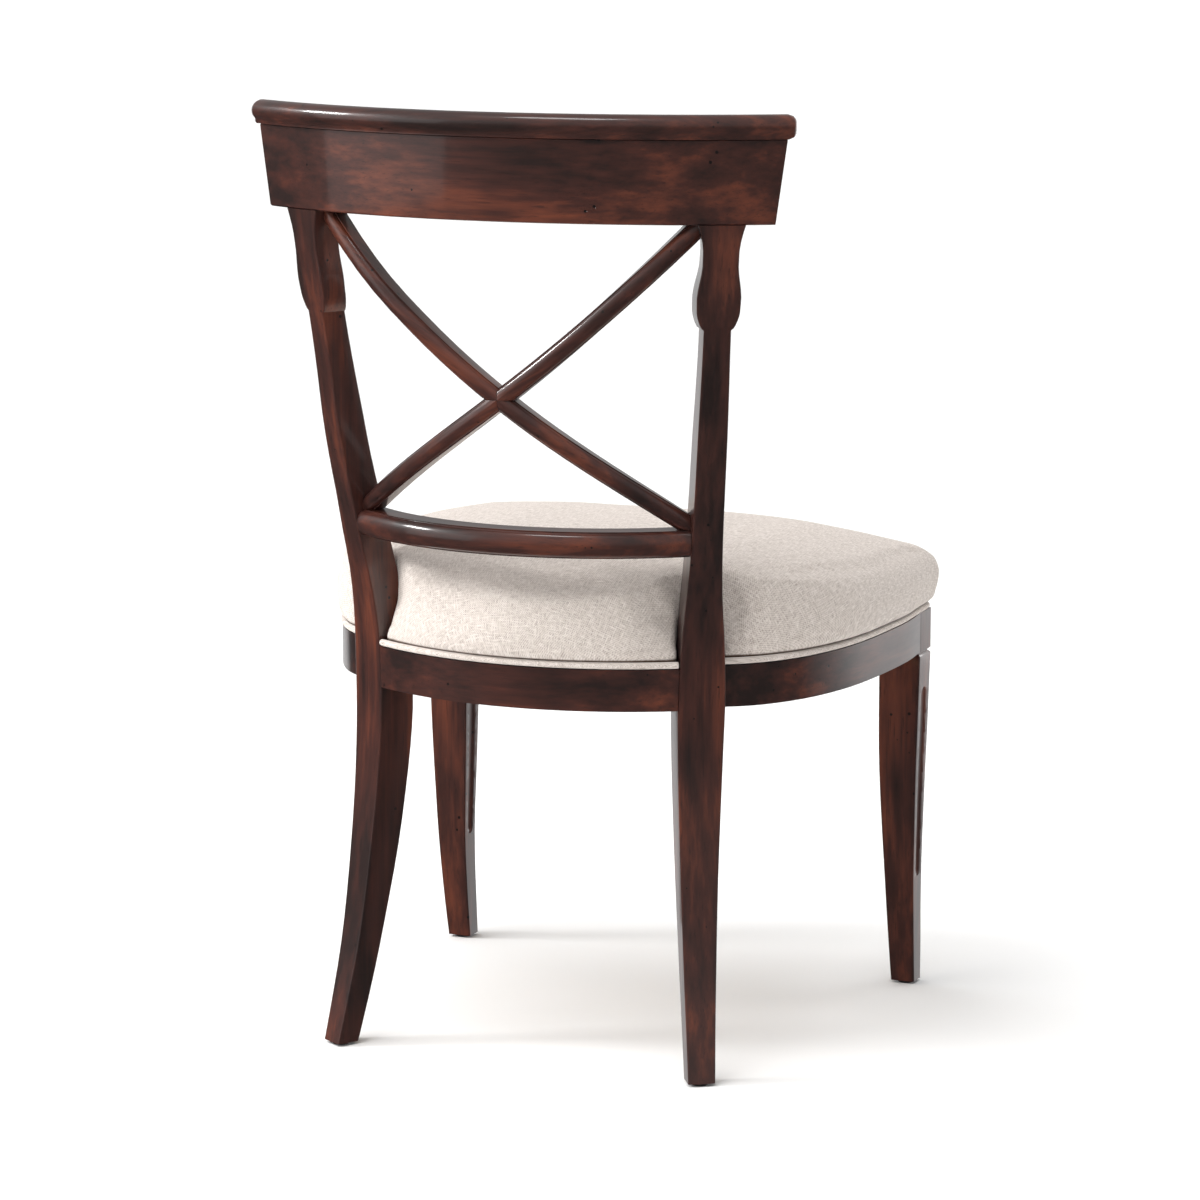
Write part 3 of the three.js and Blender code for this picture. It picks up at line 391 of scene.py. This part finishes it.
def wood_material(name, wood, turn, number):
    rough = wood["roughness"]
    material, tree, shader = new_material(name, wood["middle"], rough)
    space = grain_space(tree, turn, tuple(step * number for step in wood["step"]))
    tone = wood_tone(tree, space)
    pores = figure(tree, space, *PORES)
    pits = wood_pits(tree, space, wood["wear"])
    tree.links.new(wood_color(tree, wood, tone, pores, pits), shader.inputs["Base Color"])
    rough_wood = fade(tree, tone, 0.0, REDDEST, rough + DARK_ROUGHER, rough - RED_SMOOTHER)
    tree.links.new(rough_wood, shader.inputs["Roughness"])
    bump(tree, shader, wood_height(tree, space, pores, pits), WOOD_RELIEF)
    shader.inputs["Specular IOR Level"].default_value = wood["specular"]
    return material, shader


def mahogany(name, turn, number):
    material, shader = wood_material(f"mahogany_{name}", MAHOGANY, turn, number)
    shader.inputs["Coat Weight"].default_value = LACQUER
    shader.inputs["Coat Roughness"].default_value = LACQUER_ROUGHNESS
    return material


def pale_wood(name, turn, number):
    return wood_material(f"pale_wood_{name}", PALE_WOOD, turn, number)[0]


def even_shading():
    """Joins the loose triangles of a CAD node and shades it smooth but for its sharp edges."""
    tree = bpy.data.node_groups.new("even_shading", "GeometryNodeTree")
    for way in ("INPUT", "OUTPUT"):
        tree.interface.new_socket("Geometry", in_out=way, socket_type="NodeSocketGeometry")
    source = add(tree, "NodeGroupInput").outputs[0]
    bare = add(tree, "GeometryNodeRemoveAttribute", {"Geometry": source, "Name": "custom_normal"})
    whole = add(tree, "GeometryNodeMergeByDistance", {
        "Geometry": bare.outputs[0], "Distance": JOIN_DISTANCE})
    smooth = add(tree, "GeometryNodeSetShadeSmooth", {
        "Geometry": whole.outputs[0], "Shade Smooth": True}, domain="FACE")
    bend = add(tree, "GeometryNodeInputMeshEdgeAngle").outputs["Unsigned Angle"]
    sharp = math_node(tree, "GREATER_THAN", bend, math.radians(SHARP_ANGLE))
    edged = add(tree, "GeometryNodeSetShadeSmooth", {
        "Geometry": smooth.outputs[0], "Selection": sharp, "Shade Smooth": False}, domain="EDGE")
    tree.links.new(edged.outputs[0], add(tree, "NodeGroupOutput").inputs[0])
    return tree


def shade_evenly(thing, shading):
    thing.modifiers.new("even shading", "NODES").node_group = shading
    thing.modifiers.new("weighted normals", "WEIGHTED_NORMAL").keep_sharp = True


def finish_wood():
    shading = even_shading()
    number = 0
    for name, thing in sorted(NODES.items()):
        for start, turn in MAHOGANY_TURNS.items():
            if name.startswith(start):
                number += 1
                use_material(thing, mahogany(name, turn, number))
                shade_evenly(thing, shading)
        if name in PALE_TURNS:
            number += 1
            use_material(thing, pale_wood(name, PALE_TURNS[name], number))


# Nylon and zinc
def marked_material(name, look):
    material, tree, shader = new_material(name, look["color"], look["roughness"])
    shader.inputs["Metallic"].default_value = look["metallic"]
    marks = cloud(tree, own_place(tree), *look["marks"])
    tree.links.new(ramp(tree, marks, look["mark_colors"]), shader.inputs["Base Color"])
    tree.links.new(fade(tree, marks, *look["mark_roughness"]), shader.inputs["Roughness"])
    bump(tree, shader, marks, look["relief"])
    return material


def finish_glides():
    nylon = marked_material("dark_nylon", NYLON)
    for name, thing in NODES.items():
        if name.startswith("glide"):
            use_material(thing, nylon)


# Linen
def cover_flat(tree):
    """The flat cloth before it was drawn over the edge: a point lies out by its drop."""
    low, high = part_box("seat_cushion")
    x, y, z = split(tree, own_place(tree))
    plan = joined(tree, x, math_node(tree, "SUBTRACT", y, (low.y + high.y) / 2))
    drop = math_node(tree, "MAXIMUM", math_node(tree, "SUBTRACT", SEAT_TOP + WEAVE_DROP_FROM, z))
    out = vector_node(tree, "NORMALIZE", {0: plan})
    shift = vector_node(tree, "SCALE", {0: out, "Scale": drop})
    return vector_node(tree, "ADD", {0: plan, 1: shift})


def cord_flat(tree):
    """The strip round the cord is cut on the bias, so its threads wind round it."""
    x, y, z = split(tree, own_place(tree))
    away = vector_node(tree, "LENGTH", {0: joined(tree, x, y)}, "Value")
    turn = math_node(tree, "ARCTAN2", x, math_node(tree, "MULTIPLY", y, -1.0))
    run = math_node(tree, "MULTIPLY", turn, away)
    return joined(tree, math_node(tree, "ADD", run, z), math_node(tree, "SUBTRACT", run, z))


def yarn(tree, across):
    """Rises from 0 to 1 over one yarn and falls back over the next."""
    return math_node(tree, "DIVIDE", math_node(tree, "PINGPONG", across, THREAD), THREAD)


def plain_weave(tree, flat):
    """Crossings that go over and under by turns: 1 on top of a yarn, 0 between yarns."""
    x, y, _ = split(tree, flat)
    warp, weft = yarn(tree, x), yarn(tree, y)
    both = math_node(tree, "MULTIPLY", warp, weft)
    neither = math_node(tree, "MULTIPLY", math_node(tree, "SUBTRACT", 1.0, warp),
                        math_node(tree, "SUBTRACT", 1.0, weft))
    return math_node(tree, "ADD", both, neither)


def yarn_slubs(tree, flat):
    """Thick and thin places that run along the yarns of both ways."""
    return math_node(tree, "MAXIMUM", cloud(tree, flat, *WARP_SLUBS), cloud(tree, flat, *WEFT_SLUBS))


def linen_color(tree, weave, slubs):
    # Painted shade and light: the colour is darker in the furrows between yarns and paler on their
    # tops; the slubs add the yarns' own uneven tone.
    painted_weave_shading = math_node(tree, "MULTIPLY", weave, WEAVE_SHADE_SHARE)
    tone = math_node(tree, "ADD", painted_weave_shading, fade(tree, slubs, *SLUB_FADE))
    return ramp(tree, tone, list(zip(YARN_STOPS, (LINEN["shade"], LINEN["thread"], LINEN["light"]))))


def paint_seam_shadow(tree, color):
    """Painted shadow: a dark band on the cover where it meets its piped edge, standing in for the
    shade in the crevice between them.
    """
    height = split(tree, own_place(tree))[2]
    line = fade(tree, height, SEAT_TOP + SEAM_SHADOW_FROM, SEAT_TOP + SEAM_SHADOW_TO, 1.0, 0.0)
    return mix(tree, line, color, LINEN["painted_seam_shadow"])


def linen_material(name, depth, lay_flat, painted_seam_shadow=False):
    material, tree, shader = new_material(name, LINEN["thread"], LINEN["roughness"])
    flat = lay_flat(tree)
    weave = plain_weave(tree, flat)
    slubs = yarn_slubs(tree, flat)
    color = linen_color(tree, weave, slubs)
    # painted shadow in the crevice just above the piped edge
    if painted_seam_shadow:
        color = paint_seam_shadow(tree, color)
    tree.links.new(color, shader.inputs["Base Color"])
    relief = math_node(tree, "MULTIPLY", slubs, SLUB_RELIEF_SHARE)
    bump(tree, shader, math_node(tree, "ADD", weave, relief), depth)
    shader.inputs["Specular IOR Level"].default_value = LINEN["specular"]
    shader.inputs["Sheen Weight"].default_value = LINEN["sheen"]
    shader.inputs["Sheen Roughness"].default_value = LINEN["sheen_roughness"]
    return material


# Soft shapes
def baked_mesh(thing):
    """A new mesh with the modifiers of the object worked in."""
    graph = bpy.context.evaluated_depsgraph_get()
    return bpy.data.meshes.new_from_object(thing.evaluated_get(graph))


def apply_modifiers(thing):
    mesh = baked_mesh(thing)
    thing.modifiers.clear()
    thing.data = mesh


def smooth_shade(mesh):
    for face in mesh.polygons:
        face.use_smooth = True


def remeshed(name, node, voxel, smoothing):
    made = new_object(name, NODES[node].data.copy())
    remesh = made.modifiers.new("remesh", "REMESH")
    remesh.mode = "VOXEL"
    remesh.voxel_size = voxel
    remesh.use_smooth_shade = True
    smooth = made.modifiers.new("smooth", "SMOOTH")
    smooth.factor = SMOOTHING_SHARE
    smooth.iterations = smoothing
    apply_modifiers(made)
    return made


def subdivide(thing, levels):
    division = thing.modifiers.new("subdivision", "SUBSURF")
    division.levels = levels
    division.render_levels = levels
    apply_modifiers(thing)


def normals_of(mesh):
    return [normal.vector.copy() for normal in mesh.vertex_normals]


def ease(value, low, high):
    t = min(max((value - low) / (high - low), 0.0), 1.0)
    return t * t * (3.0 - 2.0 * t)


def leg_clearance(point):
    """The distance to the nearer rear leg, or FAR_FROM_LEG if that is less."""
    nearest = FAR_FROM_LEG
    for leg in (NODES["rear_leg_left"], NODES["rear_leg_right"]):
        hit, place, _, _ = leg.closest_point_on_mesh(point, distance=FAR_FROM_LEG)
        if hit:
            nearest = min(nearest, (place - point).length)
    return nearest


def freedoms(mesh):
    """How far each point of the cover may move: 0 at its foot and at the legs, 1 elsewhere."""
    found = []
    for vertex in mesh.vertices:
        over_foot = ease(vertex.co.z - SEAT_TOP, HELD_FOOT / 2, 2 * HELD_FOOT)
        off_leg = ease(leg_clearance(vertex.co), HELD_AT_LEGS / 4, 2 * HELD_AT_LEGS)
        found.append(over_foot * off_leg)
    return found


def shrink(mesh, freedom):
    for vertex, normal, free in zip(mesh.vertices, normals_of(mesh), freedom):
        vertex.co -= normal * COVER_SHRINK * free


def hold(cover, freedom):
    held = cover.vertex_groups.new(name="held")
    for index, free in enumerate(freedom):
        held.add([index], 1.0 - free if free > HELD_FULLY_BELOW else 1.0, "REPLACE")
    return held.name


def swollen_places(cover, freedom):
    """Where the points of the cover go under pressure, held at its foot and at the legs."""
    group = hold(cover, freedom)
    settings = cover.modifiers.new("cloth", "CLOTH").settings
    settings.vertex_group_mass = group
    settings.use_pressure = True
    settings.uniform_pressure_force = PRESSURE
    settings.quality = CLOTH_QUALITY
    settings.tension_stiffness = CLOTH_STIFFNESS
    settings.compression_stiffness = CLOTH_STIFFNESS
    settings.bending_stiffness = CLOTH_BENDING
    settings.effector_weights.gravity = 0.0
    for number in range(1, SIMULATED_FRAMES + 1):
        SCENE.frame_set(number)
    mesh = baked_mesh(cover)
    places = [vertex.co.copy() for vertex in mesh.vertices]
    bpy.data.meshes.remove(mesh)
    SCENE.frame_set(1)
    cover.modifiers.clear()
    return places


def cap_moves(mesh, places, freedom):
    """Moves each point in or out as the simulation did, within the allowed depth."""
    for vertex, place, normal, free in zip(mesh.vertices, places, normals_of(mesh), freedom):
        move = (place - vertex.co).dot(normal)
        vertex.co += normal * min(max(move, -COVER_SINK), COVER_SWELL) * free


def leg_post(node):
    """Where a rear leg passes the cushion, at the height that its folds fan out from."""
    points = [v.co for v in NODES[node].data.vertices if abs(v.co.z - SEAT_TOP) < POST_BAND]
    centre = sum(points, Vector()) / len(points)
    return Vector((centre.x, centre.y, SEAT_TOP + POST_RISE))


def leg_fold(place, posts):
    """The cloth's pull, which fans out from the rear legs and fades away from them."""
    height = 0.0
    for post in posts:
        away = math.hypot(place.x - post.x, place.y - post.y)
        turn = math.atan2(place.z - post.z, away)
        fan = math.sin(FOLDS * turn + FOLD_START)
        height += fan * (1.0 - ease(away, FOLD_NEAR, FOLD_FAR))
    return height


def make_uneven(mesh, freedom):
    posts = [leg_post("rear_leg_left"), leg_post("rear_leg_right")]
    for vertex, normal, free in zip(mesh.vertices, normals_of(mesh), freedom):
        wave = noise.noise(vertex.co / UNEVEN_SIZE) * UNEVENNESS
        vertex.co += normal * (wave + leg_fold(vertex.co, posts) * FOLD_HEIGHT) * free


def seat_cover():
    cover = remeshed("seat_cover", "seat_cushion", VOXEL, COVER_SMOOTHING)
    freedom = freedoms(cover.data)
    shrink(cover.data, freedom)
    cap_moves(cover.data, swollen_places(cover, freedom), freedom)
    make_uneven(cover.data, freedom)
    subdivide(cover, 1)
    smooth_shade(cover.data)
    # the cover gets the painted shadow just above its piped edge
    use_material(cover, linen_material("linen_cover", WEAVE_DEPTH, cover_flat, painted_seam_shadow=True))
    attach(cover, "root")
    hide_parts("seat_cushion")


def welt_cord(node):
    cord = remeshed(node.replace("seat_welt", "piped_edge"), node, WELT_VOXEL, WELT_SMOOTHING)
    smooth_shade(cord.data)
    use_material(cord, linen_material(f"linen_{node}", CORD_WEAVE_DEPTH, cord_flat))
    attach(cord, "root")
    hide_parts(node)


# Screws in the undersides of the braces
def head_height(x, y):
    """A pan head with a cross recess, over its own rim."""
    share = min(math.hypot(x, y) / SCREW_HEAD, 1.0)
    dome = SCREW_RISE * math.sqrt(max(1.0 - share ** 3, 0.0))
    in_cross = min(abs(x), abs(y)) < SCREW_SLOT / 2 and share < SCREW_CROSS_SHARE
    return dome - (SCREW_DEPTH if in_cross else 0.0)


def screw_points():
    """The middle of the head, then rings of points, facing down."""
    points = [(0.0, 0.0, -head_height(0.0, 0.0))]
    for ring in range(1, SCREW_RINGS + 1):
        radius = SCREW_HEAD * ring / SCREW_RINGS
        for spoke in range(SCREW_SPOKES):
            angle = 2 * math.pi * spoke / SCREW_SPOKES
            x, y = radius * math.cos(angle), radius * math.sin(angle)
            points.append((x, y, -head_height(x, y)))
    return points


def screw_faces():
    after = [(spoke + 1) % SCREW_SPOKES for spoke in range(SCREW_SPOKES)]
    faces = [(0, 1 + after[spoke], 1 + spoke) for spoke in range(SCREW_SPOKES)]
    for ring in range(SCREW_RINGS - 1):
        inner = 1 + ring * SCREW_SPOKES
        outer = inner + SCREW_SPOKES
        for spoke in range(SCREW_SPOKES):
            faces.append((inner + spoke, inner + after[spoke], outer + after[spoke], outer + spoke))
    return faces


def screw_mesh():
    mesh = bpy.data.meshes.new("brace_screw")
    mesh.from_pydata(screw_points(), [], screw_faces())
    smooth_shade(mesh)
    mesh.materials.append(marked_material("zinc_screw", ZINC))
    return mesh


def underside_middle(node):
    """The middle of a brace's underside, by area."""
    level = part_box(node)[0].z
    faces = [f for f in NODES[node].data.polygons if abs(f.center.z - level) < JOIN_DISTANCE]
    return sum((f.center * f.area for f in faces), Vector()) / sum(f.area for f in faces)


def brace_direction(node):
    """The direction in plan that a brace runs in: the longer axis of its points."""
    points = [v.co for v in NODES[node].data.vertices]
    centre = sum(points, Vector()) / len(points)
    spread = [(p.x - centre.x, p.y - centre.y) for p in points]
    straight = sum(x * x - y * y for x, y in spread)
    slanting = 2 * sum(x * y for x, y in spread)
    angle = math.atan2(slanting, straight) / 2
    return Vector((math.cos(angle), math.sin(angle), 0.0))


def brace_screws():
    mesh = screw_mesh()
    for node in sorted(name for name in NODES if name.startswith("corner_brace")):
        middle = underside_middle(node)
        run = brace_direction(node) * SCREW_SPREAD
        for number, place in enumerate((middle - run, middle + run)):
            screw = new_object(f"screw_{node}_{number + 1}", mesh)
            screw.location = place
            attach(screw, "root")


# Stage
def add_camera():
    data = bpy.data.cameras.new("camera")
    data.lens = CAMERA_LENS
    data.sensor_width = CAMERA_SENSOR
    data.clip_end = 2 * FLOOR_REACH
    yaw, pitch = math.radians(CAMERA_YAW), math.radians(CAMERA_PITCH)
    ahead = math.cos(pitch)
    look = Vector((math.sin(yaw) * ahead, -math.cos(yaw) * ahead, -math.sin(pitch)))
    camera = new_object("camera", data)
    camera.location = CAMERA_PLACE
    camera.rotation_euler = look.to_track_quat("-Z", "Y").to_euler()
    SCENE.camera = camera


def add_world():
    """A soft sky over dark surroundings, which are pale only to the front."""
    world = bpy.data.worlds.new("studio")
    world.use_nodes = True
    tree = world.node_tree
    background = tree.nodes["Background"]
    background.inputs["Color"].default_value = (*WHITE, 1.0)
    way = add(tree, "ShaderNodeTexCoord").outputs["Generated"]
    strength = fade(tree, split(tree, way)[2], *SKY_FADE)
    for side, low, high, most in PALE_SIDES:
        ahead = vector_node(tree, "DOT_PRODUCT", {0: way, 1: side}, "Value")
        strength = math_node(tree, "MAXIMUM", strength, fade(tree, ahead, low, high, 0.0, most))
    tree.links.new(strength, background.inputs["Strength"])
    SCENE.world = world


def add_floor():
    mesh = bpy.data.meshes.new("floor")
    reach = FLOOR_REACH
    corners = [(-reach, -reach, 0.0), (reach, -reach, 0.0), (reach, reach, 0.0), (-reach, reach, 0.0)]
    mesh.from_pydata(corners, [], [(0, 1, 2, 3)])
    floor = new_object("floor", mesh)
    material, _, shader = new_material("pale_floor", FLOOR_COLOR, FLOOR_ROUGHNESS)
    shader.inputs["Specular IOR Level"].default_value = FLOOR_SPECULAR
    use_material(floor, material)
    floor.visible_glossy = False


def backdrop_mesh():
    points, faces = [], []
    for side in range(BACKDROP_SIDES):
        angle = 2 * math.pi * side / BACKDROP_SIDES
        x, y = FLOOR_REACH * math.cos(angle), FLOOR_REACH * math.sin(angle)
        points += [(x, y, 0.0), (x, y, FLOOR_REACH)]
        after = 2 * ((side + 1) % BACKDROP_SIDES)
        faces.append((2 * side, after, after + 1, 2 * side + 1))
    mesh = bpy.data.meshes.new("backdrop")
    mesh.from_pydata(points, [], faces)
    return mesh


def add_backdrop():
    """A far pale wall that lights nothing and shows in no reflection."""
    wall = new_object("backdrop", backdrop_mesh())
    material, _, shader = new_material("pale_backdrop", BLACK, 1.0)
    shader.inputs["Specular IOR Level"].default_value = 0.0
    shader.inputs["Emission Color"].default_value = (*WHITE, 1.0)
    shader.inputs["Emission Strength"].default_value = 1.0
    use_material(wall, material)
    wall.visible_glossy = False
    wall.visible_diffuse = False
    wall.visible_shadow = False


def add_sun():
    data = bpy.data.lights.new("ceiling", "SUN")
    data.energy = SUN_STRENGTH
    data.angle = math.radians(SUN_SOFTNESS)
    light = new_object("ceiling", data)
    light.rotation_euler = tuple(math.radians(degrees) for degrees in SUN_TURN)
    light.visible_glossy = False


def add_light(name, place, size, power, reflected):
    data = bpy.data.lights.new(name, "AREA")
    data.shape = "RECTANGLE"
    data.size, data.size_y = size
    data.energy = power
    light = new_object(name, data)
    light.location = place
    light.rotation_euler = (LIGHT_AIM - light.location).to_track_quat("-Z", "Y").to_euler()
    light.visible_camera = False
    light.visible_glossy = reflected


def add_studio():
    SCENE.view_settings.view_transform = "Standard"
    add_world()
    add_floor()
    add_backdrop()
    add_sun()
    for light in LIGHTS:
        add_light(*light)


def main():
    add_camera()
    finish_wood()
    finish_glides()
    seat_cover()
    for node in ("seat_welt_front", "seat_welt_rear"):
        welt_cord(node)
    brace_screws()
    add_studio()


main()
